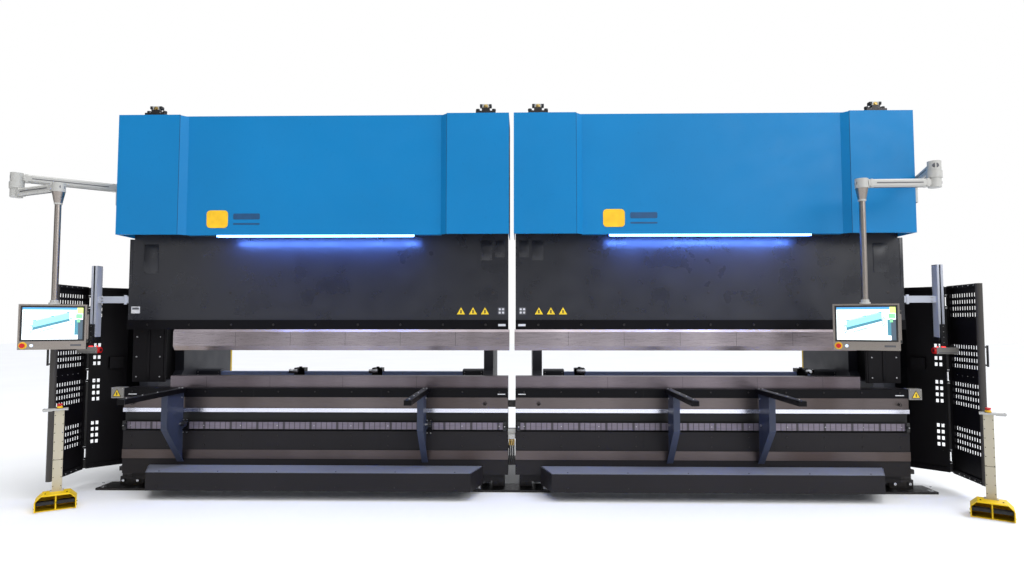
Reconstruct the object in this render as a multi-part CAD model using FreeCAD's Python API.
import FreeCAD, Part
import math
import os

os.makedirs("parts", exist_ok=True)

V = FreeCAD.Vector

# A tandem pair of hydraulic press brakes: two mirrored machines side by side.
# Millimetres, +Z up, X along the bed, Y from the operator's side to the back.
# Everything is laid out with Y = 0 on the bed's front plane and is moved at the
# end, so that the origin lies at the centre of the floor anchor pattern.

# ---- driving dimensions ---------------------------------------------------
ANCHOR_X = 3880.0            # outermost anchor holes, to each side of the seam
ANCHOR_FRONT_Y = 90.0
ANCHOR_REAR_Y = 1530.0
ORIGIN_Y = (ANCHOR_FRONT_Y + ANCHOR_REAR_Y) / 2
ANCHOR_HOLE_R = 13.0

SEAM = 35.0                  # bed end beside the seam
BED_END = 3650.0             # outer bed end
BED_FRONT = 60.0             # front face of the thick lower beam
BED_BACK = 180.0
BED_TOP = 961.0
BED_BOTTOM = 170.0
FACE_TOP = 878.0             # ground face, drip lip, recess and band on the bed's front
LIP_TOP = 776.0
LIP_BOTTOM = 740.0
RECESS_BOTTOM = 565.0
BAND_TOP = 391.0
BAND_BOTTOM = 309.0
PANEL_Y = 2.0

PLATE_T = 20.0               # floor plates and the frames' feet
FLANGE_FOOT = 150.0
FLANGE_TOP = 190.0

TABLE_END = 3245.0
TABLE_TOP = 1070.0
DIE_SLOT = 13.0
DIE_SLOT_DEPTH = 30.0

CLAMP_END = 3232.0
CLAMP_BOTTOM = 1312.0
CLAMP_TOP = 1510.0
PUNCH_SLOT = 20.0
PUNCH_SLOT_DEPTH = 30.0
TOOL_LINE_Y = 120.0          # bending line, common to punch and die

RAM_END = 3700.0
RAM_NECK = 3655.0            # end of the ram's upper part, inside the cover
RAM_FRONT = 100.0
RAM_BACK = 180.0
RAM_FOOT = 1600.0
RAM_TOP = 2700.0

FRAME_T = 95.0               # thickness of the C-shaped side frames
FRAME_IN = 205.0             # inner frame, face nearest the seam
FRAME_OUT = 3430.0           # outer frame, face nearest the seam
FRAME_BACK = 1700.0
FRAME_FOOT = 60.0
FRAME_TOP = 3300.0
FRAME_NOSE = 190.0           # front of the frames above the throat
NOSE_TOP = 2440.0
THROAT_BACK = 640.0
THROAT_BOTTOM = 1000.0
THROAT_TOP = 1700.0

CYL_X = (FRAME_IN + FRAME_T / 2, FRAME_OUT + FRAME_T / 2)
CYL_Y = 140.0
CYL_R = 130.0
CYL_SEAT = 2740.0            # underside of the cylinder flanges
CYL_BASE = 2790.0
CYL_TOP = 3500.0
VALVE_HALF = 95.0
VALVE_Y = (60.0, 150.0)
ROD_R = 80.0
PISTON_R = 95.0
RUN_GAP = 0.05               # radial clearance of running fits

COVER_IN = 22.0              # blue covers
COVER_OUT = 3668.0
COVER_BOTTOM = 2390.0
COVER_TOP = 3515.0
MODULE_FRONT = -180.0
PANEL_FRONT = -125.0
MODULE_W = 576.0
BEVEL = 57.0
SHEET = 5.0

SLIDE_GAP = 0.5              # clearance between sliding pieces
RAIL_TOP = 649.0             # support arm rail on the bed's front
RAIL_BOTTOM = 584.0
RAIL_FRONT = -12.0
RAIL_REAR = 4.0
KNOB_Y = -75.0
KNOB_Z = 640.0
SUPPORT_X = {"left": (-3080.0, -800.0), "right": (1450.0, 2280.0)}

MAST_X = 4000.0              # laser mast beyond the ram's end
MAST_FRONT = 80.0
MAST_BACK = 160.0

GUARD_HINGE = (4200.0, 250.0)
GUARD_EDGE = (4150.0, -265.0)
GUARD_BACK = (3950.0, 500.0)
GUARD_BOTTOM = 150.0
GUARD_TOP = 1925.0
KNUCKLE_Z = (260.0, 1020.0, 1740.0)
POST_X = (-3475.0, 300.0, 3475.0)
CABINET_END = 3960.0

ARM_ROOT = (3850.0, 180.0)   # pendant shoulder
ARM_L = 820.0
FOREARM_L = 600.0
ARM_Z = 2892.0
FOREARM_Z = 2752.0
ARM_HALF = 42.0              # half heights of the two arms' joints
FOREARM_HALF = 40.0
PIN_R = 15.0
PIN_L = 52.0
PANEL_W = 490.0
PANEL_BOTTOM = 1345.0
PANEL_TOP = 1733.0
PANEL_T = 56.0
STOP_R = 11.0                # stem of the stop buttons
STOP_U = -PANEL_W / 2 + 38
STOP_Z = PANEL_BOTTOM + 36
PENDANT_POSE = {"left": (217.8, 338.0, 25.0), "right": (250.6, 178.0, -25.0)}

HOOD_W = 290.0               # pedal stands
HOOD_D = 200.0
HOOD_H = 135.0
PEDAL_PIVOT_Y = 70.0
PEDAL_PIVOT_Z = 46.0
PIVOT_R = 5.0
POST_TOP = 822.0
SHELF_TOP = POST_TOP + 14
BUTTON_Y = HOOD_D / 2 - 36
STAND_AT = {"left": (-3859.0, -553.0, 34.0), "right": (3900.0, -662.0, -34.0)}

GAUGE_Y = 880.0              # front of the back gauge beam
GAUGE_TOP = 1050.0
GAUGE_RAIL_X = (425.0, 3275.0)
RAIL_DECK = 760.0            # top of the gauge rails
COLUMN_Y = 1000.0
FINGER_X = {"left": (-2300.0, -1460.0), "right": (706.0, 3060.0)}


# ---- helpers --------------------------------------------------------------
def box(x0, x1, y0, y1, z0, z1):
    return Part.makeBox(x1 - x0, y1 - y0, z1 - z0, V(x0, y0, z0))


def prism_z(points, z0, z1):
    ring = [V(x, y, z0) for x, y in points]
    return Part.Face(Part.makePolygon(ring + ring[:1])).extrude(V(0, 0, z1 - z0))


def prism_x(points, x0, x1):
    ring = [V(x0, y, z) for y, z in points]
    return Part.Face(Part.makePolygon(ring + ring[:1])).extrude(V(x1 - x0, 0, 0))


def prism_y(points, y0, y1):
    ring = [V(x, y0, z) for x, z in points]
    return Part.Face(Part.makePolygon(ring + ring[:1])).extrude(V(0, y1 - y0, 0))


def round_z(x, y, r, z0, z1):
    return Part.makeCylinder(r, z1 - z0, V(x, y, z0), V(0, 0, 1))


def round_y(x, z, r, y0, y1):
    return Part.makeCylinder(r, y1 - y0, V(x, y0, z), V(0, 1, 0))


def round_x(y, z, r, x0, x1):
    return Part.makeCylinder(r, x1 - x0, V(x0, y, z), V(1, 0, 0))


def flip(shape):
    """The same piece on the other machine, mirrored about the seam."""
    return shape.mirror(V(0, 0, 0), V(1, 0, 0))


def both(shapes):
    return shapes + [flip(s) for s in shapes]


def place(shape, x, y, yaw=0.0):
    """Turns a piece modelled at the origin about Z and sets it at x, y."""
    moved = shape.copy()
    moved.rotate(V(0, 0, 0), V(0, 0, 1), yaw)
    moved.translate(V(x, y, 0))
    return moved


def folded_sheet(points, t, z0, z1):
    """Upright sheet along an open outline, one mitred prism to each flat."""
    normals = []
    for (xa, ya), (xb, yb) in zip(points, points[1:]):
        length = math.hypot(xb - xa, yb - ya)
        normals.append((-(yb - ya) / length, (xb - xa) / length))
    inner = []
    for i, (x, y) in enumerate(points):
        before = normals[max(i - 1, 0)]
        after = normals[min(i, len(normals) - 1)]
        scale = t / (1 + before[0] * after[0] + before[1] * after[1])
        inner.append((x + (before[0] + after[0]) * scale, y + (before[1] + after[1]) * scale))
    flats = []
    for i in range(len(points) - 1):
        flats.append(prism_z([points[i], points[i + 1], inner[i + 1], inner[i]], z0, z1))
    return flats


def save(name, solids):
    pieces = []
    for solid in solids:
        moved = solid.copy()
        moved.translate(V(0, -ORIGIN_Y, 0))
        pieces.append(moved)
    shape = pieces[0] if len(pieces) == 1 else Part.makeCompound(pieces)
    shape.exportStep("parts/" + name + ".step")


# ---- welded structure -----------------------------------------------------
def side_frame(x0):
    """C-shaped plate with chamfered throat corners, rod relief and cylinder seat."""
    corner = 80.0
    outline = [
        (BED_BACK, FRAME_FOOT), (FRAME_BACK, FRAME_FOOT), (FRAME_BACK, FRAME_TOP), (290, FRAME_TOP),
        (290, CYL_SEAT), (228, CYL_SEAT), (228, NOSE_TOP + 20), (FRAME_NOSE, NOSE_TOP),
        (FRAME_NOSE, THROAT_TOP), (THROAT_BACK - corner, THROAT_TOP),
        (THROAT_BACK, THROAT_TOP - corner), (THROAT_BACK, THROAT_BOTTOM + corner),
        (THROAT_BACK - corner, THROAT_BOTTOM), (BED_BACK, THROAT_BOTTOM),
    ]
    return prism_x(outline, x0, x0 + FRAME_T)


def frame_ties():
    x0 = FRAME_IN + FRAME_T
    x1 = FRAME_OUT
    return [
        box(x0, x1, 1100, 1650, 2640, 2700),
        box(x0, x1, 560, 640, 2860, 3200),
        box(x0, x1, 1630, 1690, 120, 640),
    ]


def ram_guides():
    """Bronze strips on the frames' noses, which the ram's back runs on."""
    return [box(x, x + FRAME_T, RAM_BACK + SLIDE_GAP, FRAME_NOSE, THROAT_TOP + 20, NOSE_TOP)
            for x in (FRAME_IN, FRAME_OUT)]


def lower_beam():
    return [
        box(SEAM, BED_END, BED_FRONT, BED_BACK, BED_BOTTOM, BED_TOP),
        box(SEAM + 40, BED_END - 50, BED_FRONT + 15, BED_BACK - 15, 95, BED_BOTTOM),
    ]


def foot_plate(x0, x1, y0, y1, hole_x, hole_y):
    plate = box(x0, x1, y0, y1, 0, PLATE_T)
    for x in hole_x:
        plate = plate.cut(round_z(x, hole_y, ANCHOR_HOLE_R, -5, PLATE_T + 5))
    return plate


def anchor_bolt(x, y):
    """Shank in the plate's hole, hexagon nut and the stud's end above it."""
    nut_r = 20.0
    nut_top = PLATE_T + 18
    nut = []
    for i in range(6):
        a = math.radians(60 * i)
        nut.append((x + nut_r * math.cos(a), y + nut_r * math.sin(a)))
    return [
        round_z(x, y, ANCHOR_HOLE_R - RUN_GAP, 0, PLATE_T),
        prism_z(nut, PLATE_T, nut_top),
        round_z(x, y, 11, nut_top, nut_top + 20),
    ]


def floor_stands():
    """Floor plates, levelling wedges, their flanges and the inner anchors."""
    solids = []
    for y, plate_y in ((ANCHOR_FRONT_Y, (40, 290)), (ANCHOR_REAR_Y, (1340, 1590))):
        front, back = plate_y
        solids.append(foot_plate(-410, 410, front, back, (-305, 305), y))
        solids += anchor_bolt(-305, y) + anchor_bolt(305, y)
        w0, w1 = (front + 150, back - 10) if y == ANCHOR_FRONT_Y else (front + 10, back - 110)
        side = [foot_plate(3390, 3920, front, back, (3440, ANCHOR_X), y)]
        side += anchor_bolt(3440, y)
        side.append(box(3560, 3780, w0, w1, PLATE_T, 95))
        side.append(box(3575, 3765, w0 + 8, w1 - 8, 95, FLANGE_FOOT))
        side.append(box(FRAME_OUT + FRAME_T, 3790, w0 - 5, w1 + 5, FLANGE_FOOT, FLANGE_TOP))
        side.append(box(70, 190, w0, w1, PLATE_T, FLANGE_FOOT))
        side.append(box(60, FRAME_IN, w0 - 5, w1 + 5, FLANGE_FOOT, FLANGE_TOP))
        for x in (130, 3690):
            side.append(round_z(x, (w0 + w1) / 2, 24, FLANGE_TOP, FLANGE_TOP + 50))
        solids += both(side)
    return solids


# ---- bed front ------------------------------------------------------------
def bed_covers():
    """Painted strips and panels screwed to the bed's front, and the toe box."""
    solids = [
        box(SEAM, BED_END, 0, BED_FRONT, FACE_TOP, BED_TOP - 2),
        box(SEAM, BED_END, 34, BED_FRONT, RAIL_TOP, LIP_BOTTOM),
        box(SEAM, BED_END, 34, BED_FRONT, RECESS_BOTTOM, RAIL_TOP),
        box(SEAM, BED_END, PANEL_Y, BED_FRONT, BAND_TOP, RECESS_BOTTOM),
        box(SEAM, BED_END, -6, BED_FRONT, BAND_BOTTOM, BAND_TOP),
        box(SEAM, BED_END, PANEL_Y, BED_FRONT, BED_BOTTOM, BAND_BOTTOM),
        box(BED_END, 3768, -8, 72, 866, 966),
    ]
    toe = [(3400, PANEL_Y), (3255, -290), (358, -290), (268, PANEL_Y)]
    toe_top = 245.0
    lid = [(3390, PANEL_Y), (3250, -285), (363, -285), (278, PANEL_Y)]
    solids += folded_sheet(toe, -4.0, 85, toe_top)
    solids.append(prism_z(lid, toe_top, toe_top + 4))
    return solids


def bed_face():
    """Ground face with its two holes, drip lip, and the slide rail with its stops."""
    face = box(SEAM, BED_END, RAIL_REAR, BED_FRONT, LIP_TOP, FACE_TOP)
    for x in (250, 3560):
        face = face.cut(round_y(x, 822, 13.5, 0, 40))
    x0 = SEAM + 15
    x1 = BED_END - 15
    return [
        face,
        box(SEAM, BED_END, -8, BED_FRONT, LIP_BOTTOM, LIP_TOP),
        box(x0, x1, RAIL_FRONT, RAIL_REAR, RAIL_BOTTOM, RAIL_TOP),
        box(x0, x1, RAIL_REAR, 34, RAIL_BOTTOM + 16, RAIL_TOP - 16),
        box(x0, x0 + 30, -34, RAIL_FRONT, RAIL_BOTTOM - 10, RAIL_TOP + 10),
        box(x1 - 30, x1, -34, RAIL_FRONT, RAIL_BOTTOM - 10, RAIL_TOP + 10),
    ]


def die_table():
    half = DIE_SLOT / 2
    return [
        box(SEAM, TABLE_END, BED_FRONT, TOOL_LINE_Y - half, BED_TOP, TABLE_TOP),
        box(SEAM, TABLE_END, TOOL_LINE_Y + half, BED_BACK, BED_TOP, TABLE_TOP),
        box(SEAM, TABLE_END, TOOL_LINE_Y - half, TOOL_LINE_Y + half, BED_TOP, TABLE_TOP - DIE_SLOT_DEPTH),
    ]


# ---- ram group ------------------------------------------------------------
def ram():
    """Thick ram plate, narrower inside the cover, and the rail for the upper clamp."""
    shoulder = COVER_BOTTOM - 10
    outline = [
        (SEAM, RAM_FOOT), (RAM_END, RAM_FOOT), (RAM_END, shoulder), (RAM_NECK, shoulder),
        (RAM_NECK, RAM_TOP), (SEAM, RAM_TOP),
    ]
    return [
        prism_y(outline, RAM_FRONT, RAM_BACK),
        box(SEAM, RAM_END, RAM_FRONT - 15, RAM_BACK, CLAMP_TOP, RAM_FOOT),
    ]


def upper_clamp():
    half = PUNCH_SLOT / 2
    jaw = [
        (BED_FRONT, 1355), (BED_FRONT, 1487), (BED_FRONT + 14, CLAMP_TOP),
        (TOOL_LINE_Y - half, CLAMP_TOP), (TOOL_LINE_Y - half, CLAMP_BOTTOM), (BED_FRONT + 26, CLAMP_BOTTOM),
    ]
    rear = [(2 * TOOL_LINE_Y - y, z) for y, z in jaw]
    x0 = SEAM - 10
    slot_top = CLAMP_BOTTOM + PUNCH_SLOT_DEPTH
    return [
        prism_x(jaw, x0, CLAMP_END),
        prism_x(rear, x0, CLAMP_END),
        box(x0, CLAMP_END, TOOL_LINE_Y - half, TOOL_LINE_Y + half, slot_top, CLAMP_TOP),
    ]


def piston_rods():
    solids = []
    piston_z = 3240.0
    for x in CYL_X:
        solids.append(round_z(x, CYL_Y, ROD_R, RAM_TOP, piston_z))
        solids.append(round_z(x, CYL_Y, PISTON_R, piston_z, piston_z + 80))
    return solids


def laser_mast():
    """Bar off the ram's end and the slotted upright that carries the laser head."""
    x0 = MAST_X
    foot_top = 1437.0
    bar = box(RAM_END, x0, 105, MAST_BACK, 1764, 1828)
    upright = box(x0, x0 + 55, MAST_FRONT, MAST_BACK, foot_top, 2123)
    groove = box(x0 + 20, x0 + 35, MAST_FRONT - 5, MAST_FRONT + 15, foot_top, 2123)
    foot = box(x0 - 6, x0 + 61, MAST_FRONT, MAST_BACK + 4, foot_top - 37, foot_top)
    return [bar, upright.cut(groove), foot]


def laser_head():
    """Emitter box below the mast, with its slider in front of the upright."""
    x0 = MAST_X
    back = MAST_FRONT - SLIDE_GAP
    top = 1345.0
    return [
        box(x0 - 65, x0 + 135, 20, back, top - 60, top),
        round_x(50, top - 30, 26, x0 - 80, x0 - 65),
        box(x0 + 6, x0 + 49, 60, back, top, 1560),
        box(x0 + 60, x0 + 125, 30, 70, top, top + 12),
    ]


# ---- hydraulics, covers, cabinets ----------------------------------------
def cylinder(x):
    """Hollow cylinder with rod gland and flange, and the valve block above it."""
    body = round_z(x, CYL_Y, CYL_R, CYL_BASE, CYL_TOP)
    body = body.cut(round_z(x, CYL_Y, ROD_R + RUN_GAP, CYL_BASE - 1, CYL_BASE + 80))
    body = body.cut(round_z(x, CYL_Y, PISTON_R + RUN_GAP, CYL_BASE + 80, CYL_TOP - 60))
    flange = box(x - 150, x + 150, 10, 290, CYL_SEAT, CYL_BASE)
    flange = flange.cut(round_z(x, CYL_Y, ROD_R + 4, CYL_SEAT - 10, CYL_BASE + 10))
    top = CYL_TOP + 105
    neck = box(x - VALVE_HALF, x + VALVE_HALF, *VALVE_Y, CYL_TOP, top)
    valve = [
        box(x - VALVE_HALF, x + VALVE_HALF, *VALVE_Y, top, top + 10),
        box(x - 38, x + 38, 70, 140, top + 10, top + 44),
        prism_y([(x - 30, top + 44), (x + 30, top + 44), (x + 55, top + 82), (x - 55, top + 82)], 85, 125),
        round_z(x - 78, 105, 17, top + 10, top + 34),
        round_z(x + 78, 105, 17, top + 10, top + 34),
    ]
    return [body, flange, neck] + valve


def top_cover():
    """Blue sheet cover: two deep end modules with a recessed panel between."""
    left = COVER_IN + MODULE_W
    right = COVER_OUT - MODULE_W
    deep = 560.0
    shallow = 300.0
    outline = [
        (COVER_OUT, deep), (COVER_OUT, MODULE_FRONT), (right, MODULE_FRONT),
        (right - BEVEL, PANEL_FRONT), (left + BEVEL, PANEL_FRONT), (left, MODULE_FRONT),
        (COVER_IN, MODULE_FRONT), (COVER_IN, shallow),
    ]
    solids = folded_sheet(outline, -SHEET, COVER_BOTTOM, COVER_TOP - SHEET)
    lid_z = (COVER_TOP - SHEET, COVER_TOP)
    lids = [
        box(COVER_IN, left, MODULE_FRONT, shallow, *lid_z),
        box(left, right, PANEL_FRONT, shallow, *lid_z),
        box(right, COVER_OUT, MODULE_FRONT, deep, *lid_z),
    ]
    for x in CYL_X:
        hole = box(x - VALVE_HALF, x + VALVE_HALF, *VALVE_Y, COVER_TOP - 20, COVER_TOP + 20)
        lids = [lid.cut(hole) for lid in lids]
    lip = box(left + BEVEL, right - BEVEL, PANEL_FRONT + SHEET, -60, COVER_BOTTOM, COVER_BOTTOM + SHEET)
    return solids + lids + [lip]


def work_light():
    return [box(900, 2750, -120, -88, COVER_BOTTOM - 18, COVER_BOTTOM)]


def hydraulic_unit():
    """Oil tank on the frame's platform with motor, pump block and pipes."""
    floor_z = 2700.0
    tank_top = 3240.0
    pipe_z = 3380.0
    pipe_y = 400.0
    pipe_r = 20.0
    elbow = 25.0
    pump_x = 1600.0
    solids = [
        box(900, 2500, 1150, 1600, floor_z, tank_top),
        round_z(1300, 1375, 60, tank_top, tank_top + 50),
        box(pump_x - 100, pump_x + 100, 760, 960, floor_z, 2900),
        round_x(860, 2830, 110, pump_x + 100, 2120),
        round_z(pump_x, 860, 22, 2900, pipe_z - pipe_r),
        box(pump_x - elbow, pump_x + elbow, 830, 885, pipe_z - pipe_r, pipe_z + elbow),
        round_y(pump_x, pipe_z, pipe_r, pipe_y + elbow, 830),
        box(pump_x - 40, pump_x + 40, 960, 1150, 2740, 2800),
    ]
    for x in (pump_x,) + CYL_X:
        corner = V(x - elbow, pipe_y - elbow, pipe_z - elbow)
        solids.append(Part.makeBox(2 * elbow, 2 * elbow, 2 * elbow, corner))
    for x in CYL_X:
        near, far = sorted((x, pump_x))
        solids.append(round_x(pipe_y, pipe_z, pipe_r, near + elbow, far - elbow))
        solids.append(round_y(x, pipe_z, pipe_r, CYL_Y + CYL_R, pipe_y - elbow))
    return solids


def electrical_cabinet():
    """Cabinet on the outer frame's side, with a front panel and a bar handle."""
    x0 = FRAME_OUT + FRAME_T
    front = 720.0
    bottom = 260.0
    top = 1850.0
    return [
        box(x0, CABINET_END, front, 1560, bottom, top),
        box(x0 + 20, CABINET_END - 22, front - 8, front, bottom + 30, top - 30),
        round_z(CABINET_END - 55, front - 20, 12, 980, 1120),
    ]


def throat_cover():
    """Dark closing panels beside the tools, on the outer frame's outer face."""
    x0 = FRAME_OUT + FRAME_T
    return [
        box(3397, RAM_END, 196, 214, THROAT_BOTTOM, THROAT_TOP - 10),
        round_z(3385, 205, 12, THROAT_BOTTOM, THROAT_TOP - 10),
        box(x0, x0 + 18, 214, 700, 940, 1760),
    ]


# ---- back gauge -----------------------------------------------------------
def gauge_rails():
    solids = []
    half = 45.0
    walls = (FRAME_IN + FRAME_T, FRAME_OUT)
    for x, wall in zip(GAUGE_RAIL_X, walls):
        near = x - half if wall < x else x + half
        solids.append(box(x - half, x + half, 300, 1400, 700, RAIL_DECK))
        for y in (340, 1240):
            solids.append(box(min(wall, near), max(wall, near), y, y + 110, 680, 745))
    return solids


def gauge_carriage():
    solids = []
    for x in GAUGE_RAIL_X:
        solids.append(box(x - 60, x + 60, 950, 1130, RAIL_DECK + SLIDE_GAP, 820))
        solids.append(box(x - 40, x + 40, COLUMN_Y, COLUMN_Y + 80, 820, 1062))
    tie_z = RAIL_DECK + 12
    solids.append(box(GAUGE_RAIL_X[0] + 60, GAUGE_RAIL_X[1] - 60, 1020, 1060, tie_z, tie_z + 36))
    return solids


def gauge_beam():
    """Cross beam between two end blocks that ride in front of the columns."""
    back = COLUMN_Y - SLIDE_GAP
    bottom = GAUGE_TOP - 50
    top = GAUGE_TOP + 25
    block = [(GAUGE_Y - 25, bottom), (back, bottom), (back, top), (GAUGE_Y, top), (GAUGE_Y - 25, top - 15)]
    inner = (540, 3150)
    ends = [prism_x(block, 320, inner[0]), prism_x(block, inner[1], 3410)]
    return ends + [box(*inner, GAUGE_Y, GAUGE_Y + 85, bottom, GAUGE_TOP)]


def gauge_finger(x):
    z = GAUGE_TOP + SLIDE_GAP
    return [
        box(x - 55, x + 55, GAUGE_Y - 12, GAUGE_Y + 95, z, z + 38),
        box(x - 55, x + 55, GAUGE_Y - 12, GAUGE_Y - SLIDE_GAP, z - 40, z),
        box(x - 16, x + 16, GAUGE_Y - 180, GAUGE_Y - 12, z + 8, z + 34),
        box(x - 45, x + 45, GAUGE_Y - 196, GAUGE_Y - 180, z - 4, z + 38),
    ]


# ---- support arms ---------------------------------------------------------
def support_arm(x):
    """Top bar, bent bracket and the shoe that hooks round the bed's rail."""
    plate_t = 10.0
    bar_top = 965.0
    bar_foot = 925.0
    web = [(-13, bar_foot), (-320, bar_foot), (-320, 632), (-32, 300), (-13, 300)]
    fold = [
        (-328, bar_foot), (-320, bar_foot), (-320, 629), (-34, 299), (-28, 286), (-40, 289), (-328, 626),
    ]
    shoe_front = RAIL_FRONT - SLIDE_GAP
    hook_back = RAIL_REAR + SLIDE_GAP
    top = RAIL_TOP + SLIDE_GAP
    bottom = RAIL_BOTTOM - SLIDE_GAP
    side = prism_x(web, x - plate_t / 2, x + plate_t / 2)
    side = side.cut(round_x(KNOB_Y, KNOB_Z, 10 + RUN_GAP, x - 40, x + 40))
    front = prism_x(fold[:3] + [fold[6]], x - 28, x + 28)
    slant = prism_x(fold[2:6] + [fold[6]], x - 28, x + 28)
    x0 = x + plate_t / 2
    x1 = x0 + 60
    shoe = [
        box(x0, x1, -32, shoe_front, bottom - 10, top + 10),
        box(x0, x1, shoe_front, hook_back + 8, top, top + 10),
        box(x0, x1, hook_back, hook_back + 8, RAIL_TOP - 15, top),
        box(x0, x1, shoe_front, hook_back + 8, bottom - 10, bottom),
        box(x0, x1, hook_back, hook_back + 8, bottom, RAIL_BOTTOM + 15),
    ]
    bar = box(x - 30, x + 30, -950, -13, bar_foot, bar_top)
    bolts = [round_z(x + dx, -60, 9, bar_top, bar_top + 8) for dx in (-14, 14)]
    return [side, front, slant, bar] + shoe + bolts


def clamp_knob(x):
    """Star knob whose pin passes through the bracket's side plate."""
    lobes = []
    for i in range(24):
        a = math.radians(15 * i)
        r = 24 if i % 3 else 28
        lobes.append((r * math.cos(a), r * math.sin(a)))
    grip = prism_x([(KNOB_Y + y, KNOB_Z + z) for y, z in lobes], x + 30, x + 62)
    grip = grip.common(box(x + 30, x + 62, KNOB_Y - 40, KNOB_Y + 40, KNOB_Z - 40, KNOB_Z + 40))
    return [round_x(KNOB_Y, KNOB_Z, 10, x - 14, x + 30), grip]


# ---- side guards ----------------------------------------------------------
def along(p, q, s, off=0.0):
    """Point at distance s from p towards q, pushed sideways by off."""
    length = math.hypot(q[0] - p[0], q[1] - p[1])
    ux = (q[0] - p[0]) / length
    uy = (q[1] - p[1]) / length
    return (p[0] + ux * s - uy * off, p[1] + uy * s + ux * off)


def strip(p, q, s0, s1, off0, off1, z0, z1):
    """Upright bar along the line p-q, between two distances and two offsets."""
    corners = [along(p, q, s0, off0), along(p, q, s1, off0), along(p, q, s1, off1), along(p, q, s0, off1)]
    return prism_z(corners, z0, z1)


def guard_windows(p, q, first, columns):
    """Cutter for groups of rectangular windows along the line p-q, evenly pitched."""
    rows = 4
    pitch_s = 38.0
    pitch_z = 60.0
    cells = []
    for group_z in (390.0, 805.0, 1155.0, 1630.0):
        for row in range(rows):
            z = group_z + row * pitch_z
            for column in range(columns):
                start = first + column * pitch_s
                cells.append(strip(p, q, start, start + 24, -8, 8, z, z + 34))
    return Part.makeCompound(cells)


def guard_door():
    """Swinging door: perforated sheet in a frame, with a rounded front post."""
    p = GUARD_HINGE
    q = GUARD_EDGE
    length = math.hypot(q[0] - p[0], q[1] - p[1])
    sheet = strip(p, q, 30, length - 22, -4, 4, GUARD_BOTTOM + 40, GUARD_TOP - 30)
    sheet = sheet.cut(guard_windows(p, q, 42.0, 11))
    edge = along(p, q, length - 22)
    front = round_z(edge[0], edge[1], 30, GUARD_BOTTOM, GUARD_TOP)
    front = front.cut(strip(p, q, length - 60, length - 22, -40, 40, GUARD_BOTTOM - 5, GUARD_TOP + 5))
    rails = [
        strip(p, q, 30, length - 22, -18, 18, GUARD_BOTTOM, GUARD_BOTTOM + 40),
        strip(p, q, 30, length - 22, -18, 18, GUARD_TOP - 30, GUARD_TOP),
        strip(p, q, 30, length - 22, 4, 14, 1065, 1105),
    ]
    back = strip(p, q, 22, 30, -18, 18, GUARD_BOTTOM, GUARD_TOP)
    knuckles = []
    for z in KNUCKLE_Z:
        tube = round_z(p[0], p[1], 14, z, z + 80)
        leaf = strip(p, q, 4, 22, -6, 6, z, z + 80)
        knuckles.append(tube.fuse(leaf).cut(round_z(p[0], p[1], 8 + RUN_GAP, z - 5, z + 85)))
    return [sheet, front, back] + rails + knuckles


def side_guard():
    """Fixed guard panel with hinge pins, its rails back to the cabinet, and rear posts."""
    p = GUARD_HINGE
    q = GUARD_BACK
    length = math.hypot(q[0] - p[0], q[1] - p[1])
    sheet = strip(p, q, 50, length, -4, 4, GUARD_BOTTOM + 40, GUARD_TOP - 30)
    solids = [
        sheet.cut(guard_windows(p, q, 62.0, 2)),
        strip(p, q, 26, 50, -18, 18, GUARD_BOTTOM, GUARD_TOP),
        strip(p, q, 50, length, -18, 18, GUARD_BOTTOM, GUARD_BOTTOM + 40),
        strip(p, q, 50, length, -18, 18, GUARD_TOP - 30, GUARD_TOP),
        box(CABINET_END - 18, CABINET_END, GUARD_BACK[1], 720, GUARD_BOTTOM, GUARD_TOP),
        strip(p, q, length - 160, length - 40, 4, 70, 1120, 1230),
    ]
    for z in KNUCKLE_Z:
        pin = round_z(p[0], p[1], 8, z - 12, z + 92)
        for z0 in (z - 22, z + 82):
            ear = round_z(p[0], p[1], 14, z0, z0 + 18).fuse(strip(p, q, 4, 26, -6, 6, z0, z0 + 18))
            pin = pin.fuse(ear)
        solids.append(pin)
    return solids


def rear_posts():
    """Light guard posts behind the frames."""
    solids = []
    for x in POST_X:
        near = x - math.copysign(35, x)
        solids.append(box(min(x, near), max(x, near), FRAME_BACK, FRAME_BACK + 60, FRAME_FOOT, 2100))
    return solids


# ---- pendants -------------------------------------------------------------
def octagon_bar(length, width, height, z):
    """Bar along +X from the origin with chamfered long edges, centred on z."""
    c = 14.0
    w = width / 2
    h = height / 2
    ring = [(-w, z - h + c), (-w + c, z - h), (w - c, z - h), (w, z - h + c),
            (w, z + h - c), (w - c, z + h), (-w + c, z + h), (-w, z + h - c)]
    return prism_x(ring, 45, length - 45)


def joint_shell(x, z0, z1):
    """Round joint housing with a blind bore from below for the next piece's pin."""
    return round_z(x, 0, 52, z0, z1).cut(round_z(x, 0, PIN_R + RUN_GAP, z0 - 1, z0 + PIN_L + 4))


def pendant_arm():
    """Upper arm, shoulder at the origin, elbow at +X."""
    bar = octagon_bar(ARM_L, 70, 74, ARM_Z)
    low = ARM_Z - ARM_HALF
    high = ARM_Z + ARM_HALF
    return [bar, joint_shell(0, low, high), joint_shell(ARM_L, low, high)]


def pendant_forearm():
    """Forearm with the elbow pin at the origin and the pole joint at +X."""
    low = FOREARM_Z - FOREARM_HALF
    high = FOREARM_Z + FOREARM_HALF
    gap_z = ARM_Z - ARM_HALF - SLIDE_GAP
    bar = octagon_bar(FOREARM_L, 66, 68, FOREARM_Z)
    elbow = round_z(0, 0, 50, low, high).fuse(round_z(0, 0, 58, high, gap_z))
    elbow = elbow.fuse(round_z(0, 0, PIN_R, gap_z, gap_z + PIN_L))
    return [bar, elbow, joint_shell(FOREARM_L, low, high)]


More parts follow.
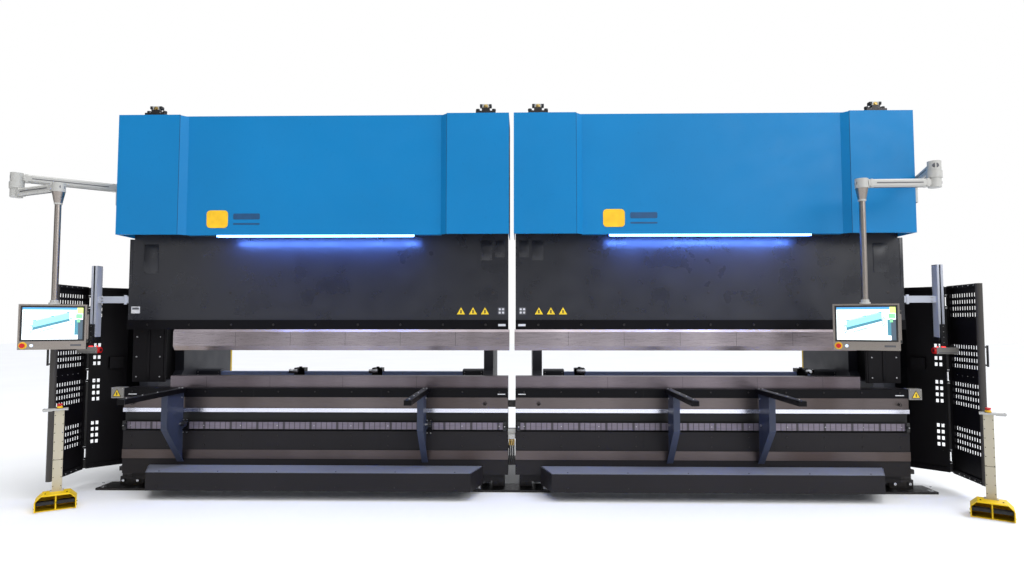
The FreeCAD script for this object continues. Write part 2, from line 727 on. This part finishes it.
def pendant_panel():
    """Pole and control panel about the pole's axis, front towards -Y."""
    wrist_z = FOREARM_Z - FOREARM_HALF - SLIDE_GAP
    socket_h = 104.0
    socket = Part.makeCone(30, 50, socket_h, V(0, 0, wrist_z - socket_h))
    pin = round_z(0, 0, PIN_R, wrist_z, wrist_z + PIN_L)
    pole = round_z(0, 0, 25, PANEL_TOP, wrist_z - socket_h)
    half = PANEL_W / 2
    case = box(-half, half, -PANEL_T / 2, PANEL_T / 2, PANEL_BOTTOM, PANEL_TOP)
    rim = 14.0
    recess_foot = PANEL_BOTTOM + 72
    case = case.cut(box(-half + rim, half - rim, -PANEL_T, -PANEL_T / 2 + 4, recess_foot, PANEL_TOP - rim))
    case = case.cut(round_y(STOP_U, STOP_Z, STOP_R + RUN_GAP, -PANEL_T / 2 - 1, 0))
    handle = box(half, half + 12, -12, 12, PANEL_BOTTOM + 60, PANEL_TOP - 60)
    return [socket.fuse(pin), pole, case, handle]


def pendant_stop():
    face = -PANEL_T / 2
    stem = round_y(STOP_U, STOP_Z, STOP_R, face - 12, -8)
    return [stem.fuse(round_y(STOP_U, STOP_Z, 19, face - 26, face - 12))]


def pendant_bracket():
    x, y = ARM_ROOT
    top = ARM_Z - ARM_HALF - SLIDE_GAP
    plate_x = COVER_OUT + 14
    z = 2770.0
    return [
        box(COVER_OUT, plate_x, y - 90, y + 90, z - 80, z + 80),
        box(plate_x, x - 44, y - 35, y + 35, z - 35, z + 35),
        round_z(x, y, 50, z - 45, top).fuse(round_z(x, y, PIN_R, top, top + PIN_L)),
    ]


# ---- pedal stands ---------------------------------------------------------
def pedal_stand(sign):
    """Foot-pedal box with two bays, post and shelf; front towards -Y, shelf out to sign's side."""
    w = HOOD_W / 2
    d = HOOD_D / 2
    wall = 7.0
    bevel = 48.0
    front = -d
    back = d
    solids = [
        box(-w, w, front + 40, back, 0, 8),
        box(-w, -w + wall, front, back, 8, HOOD_H - bevel),
        box(w - wall, w, front, back, 8, HOOD_H - bevel),
        box(-w + wall, w - wall, back - wall, back, 8, HOOD_H - bevel),
        box(-w + bevel, w - bevel, front + 25, back, HOOD_H - wall, HOOD_H),
        box(-5, 5, front + 30, back - wall, 8, HOOD_H - wall),
    ]
    for s in (-1, 1):
        corner = [(s * w, HOOD_H - bevel), (s * (w - wall), HOOD_H - bevel),
                  (s * (w - bevel), HOOD_H - wall), (s * (w - bevel), HOOD_H)]
        solids.append(prism_y(corner, front + 25, back))
        x0, x1 = sorted((s * (w - wall), s * 5))
        solids.append(round_x(PEDAL_PIVOT_Y, PEDAL_PIVOT_Z, PIVOT_R, x0, x1))
    solids.append(box(-35, 35, back - 62, back - 10, HOOD_H, POST_TOP))
    x0, x1 = sorted((sign * -62, sign * 120))
    solids.append(box(x0, x1, back - 75, back, POST_TOP, SHELF_TOP))
    base = round_z(0, BUTTON_Y, 22, SHELF_TOP, SHELF_TOP + 18)
    solids.append(base.cut(round_z(0, BUTTON_Y, STOP_R + RUN_GAP, SHELF_TOP + 5, SHELF_TOP + 20)))
    return solids


def foot_pedal(s):
    """Pedal plate on its pivot pin; s is -1 for the left bay and +1 for the right."""
    x0 = 10.0
    x1 = HOOD_W / 2 - 12
    y = PEDAL_PIVOT_Y
    z = PEDAL_PIVOT_Z
    plate = prism_x([(y + 8, z - 12), (y + 12, z + 12), (y - 160, z + 36), (y - 160, z + 14)], x0, x1)
    plate = plate.cut(round_x(y, z, PIVOT_R + RUN_GAP, 0, HOOD_W))
    if s < 0:
        plate = flip(plate)
    return [plate]


def stand_stop():
    z = SHELF_TOP + 18
    stem = round_z(0, BUTTON_Y, STOP_R, z - 6, z + 8)
    return [stem.fuse(round_z(0, BUTTON_Y, 20, z + 8, z + 22))]


# ---- between the machines -------------------------------------------------
def machine_links():
    """Distance blocks and a hose bundle in the gap between the machines."""
    gap = SEAM
    hoses = [round_z(0, -2, 8, 300, 500), round_z(-19, 10, 8, 260, 500), round_z(19, 10, 8, 260, 500)]
    return [
        box(-gap, gap, 20, 70, 500, 590),
        box(-gap, gap, 90, 150, 240, 300),
        box(-gap, gap, 90, 150, 780, 840),
        box(-30, 30, -10, 20, 500, 540),
    ] + hoses


# ---- writing the nodes ----------------------------------------------------
def save_structure():
    frames = [side_frame(FRAME_IN), side_frame(FRAME_OUT)]
    save("side_frames", both(frames + frame_ties() + ram_guides()))
    save("beds", both(lower_beam()))
    save("floor_plates", floor_stands())
    save("bed_covers", both(bed_covers()))
    save("bed_faces", both(bed_face()))
    save("die_tables", both(die_table()))
    save("cylinders", both(cylinder(CYL_X[0]) + cylinder(CYL_X[1])))
    save("top_covers", both(top_cover()))
    save("work_lights", both(work_light()))
    save("hydraulic_units", both(hydraulic_unit()))
    save("electrical_cabinets", both(electrical_cabinet()))
    save("throat_covers", both(throat_cover()))
    save("gauge_rails", both(gauge_rails()))
    save("side_guards", both(side_guard()) + rear_posts())
    save("pendant_brackets", both(pendant_bracket()))
    save("machine_links", machine_links())


def save_machine(side):
    """Moving pieces of one machine; the left machine mirrors the right one."""
    turn = flip if side == "left" else (lambda s: s)
    groups = {
        "ram": ram(), "upper_clamp": upper_clamp(), "piston_rods": piston_rods(),
        "laser_mast": laser_mast(), "laser_head": laser_head(), "guard_door": guard_door(),
        "gauge_carriage": gauge_carriage(), "gauge_beam": gauge_beam(),
    }
    for name, solids in groups.items():
        save(side + "_" + name, [turn(s) for s in solids])
    for letter, x in zip("ab", FINGER_X[side]):
        save(side + "_gauge_finger_" + letter, gauge_finger(x))
    for letter, x in zip("ab", SUPPORT_X[side]):
        save(side + "_support_arm_" + letter, support_arm(x))
        save(side + "_clamp_knob_" + letter, clamp_knob(x))


def save_pendant(side):
    sign = -1 if side == "left" else 1
    shoulder, elbow, yaw = PENDANT_POSE[side]
    root = (sign * ARM_ROOT[0], ARM_ROOT[1])
    a = math.radians(shoulder)
    b = math.radians(elbow)
    joint = (root[0] + ARM_L * math.cos(a), root[1] + ARM_L * math.sin(a))
    pole = (joint[0] + FOREARM_L * math.cos(b), joint[1] + FOREARM_L * math.sin(b))
    save(side + "_pendant_arm", [place(s, *root, shoulder) for s in pendant_arm()])
    save(side + "_pendant_forearm", [place(s, *joint, elbow) for s in pendant_forearm()])
    save(side + "_pendant_panel", [place(s, *pole, yaw) for s in pendant_panel()])
    save(side + "_pendant_stop", [place(s, *pole, yaw) for s in pendant_stop()])


def save_stand(side):
    x, y, yaw = STAND_AT[side]
    sign = -1 if side == "left" else 1
    save(side + "_pedal_stand", [place(s, x, y, yaw) for s in pedal_stand(sign)])
    save(side + "_pedal_a", [place(s, x, y, yaw) for s in foot_pedal(-1)])
    save(side + "_pedal_b", [place(s, x, y, yaw) for s in foot_pedal(1)])
    save(side + "_stand_stop", [place(s, x, y, yaw) for s in stand_stop()])


save_structure()
for machine in ("left", "right"):
    save_machine(machine)
    save_pendant(machine)
    save_stand(machine)
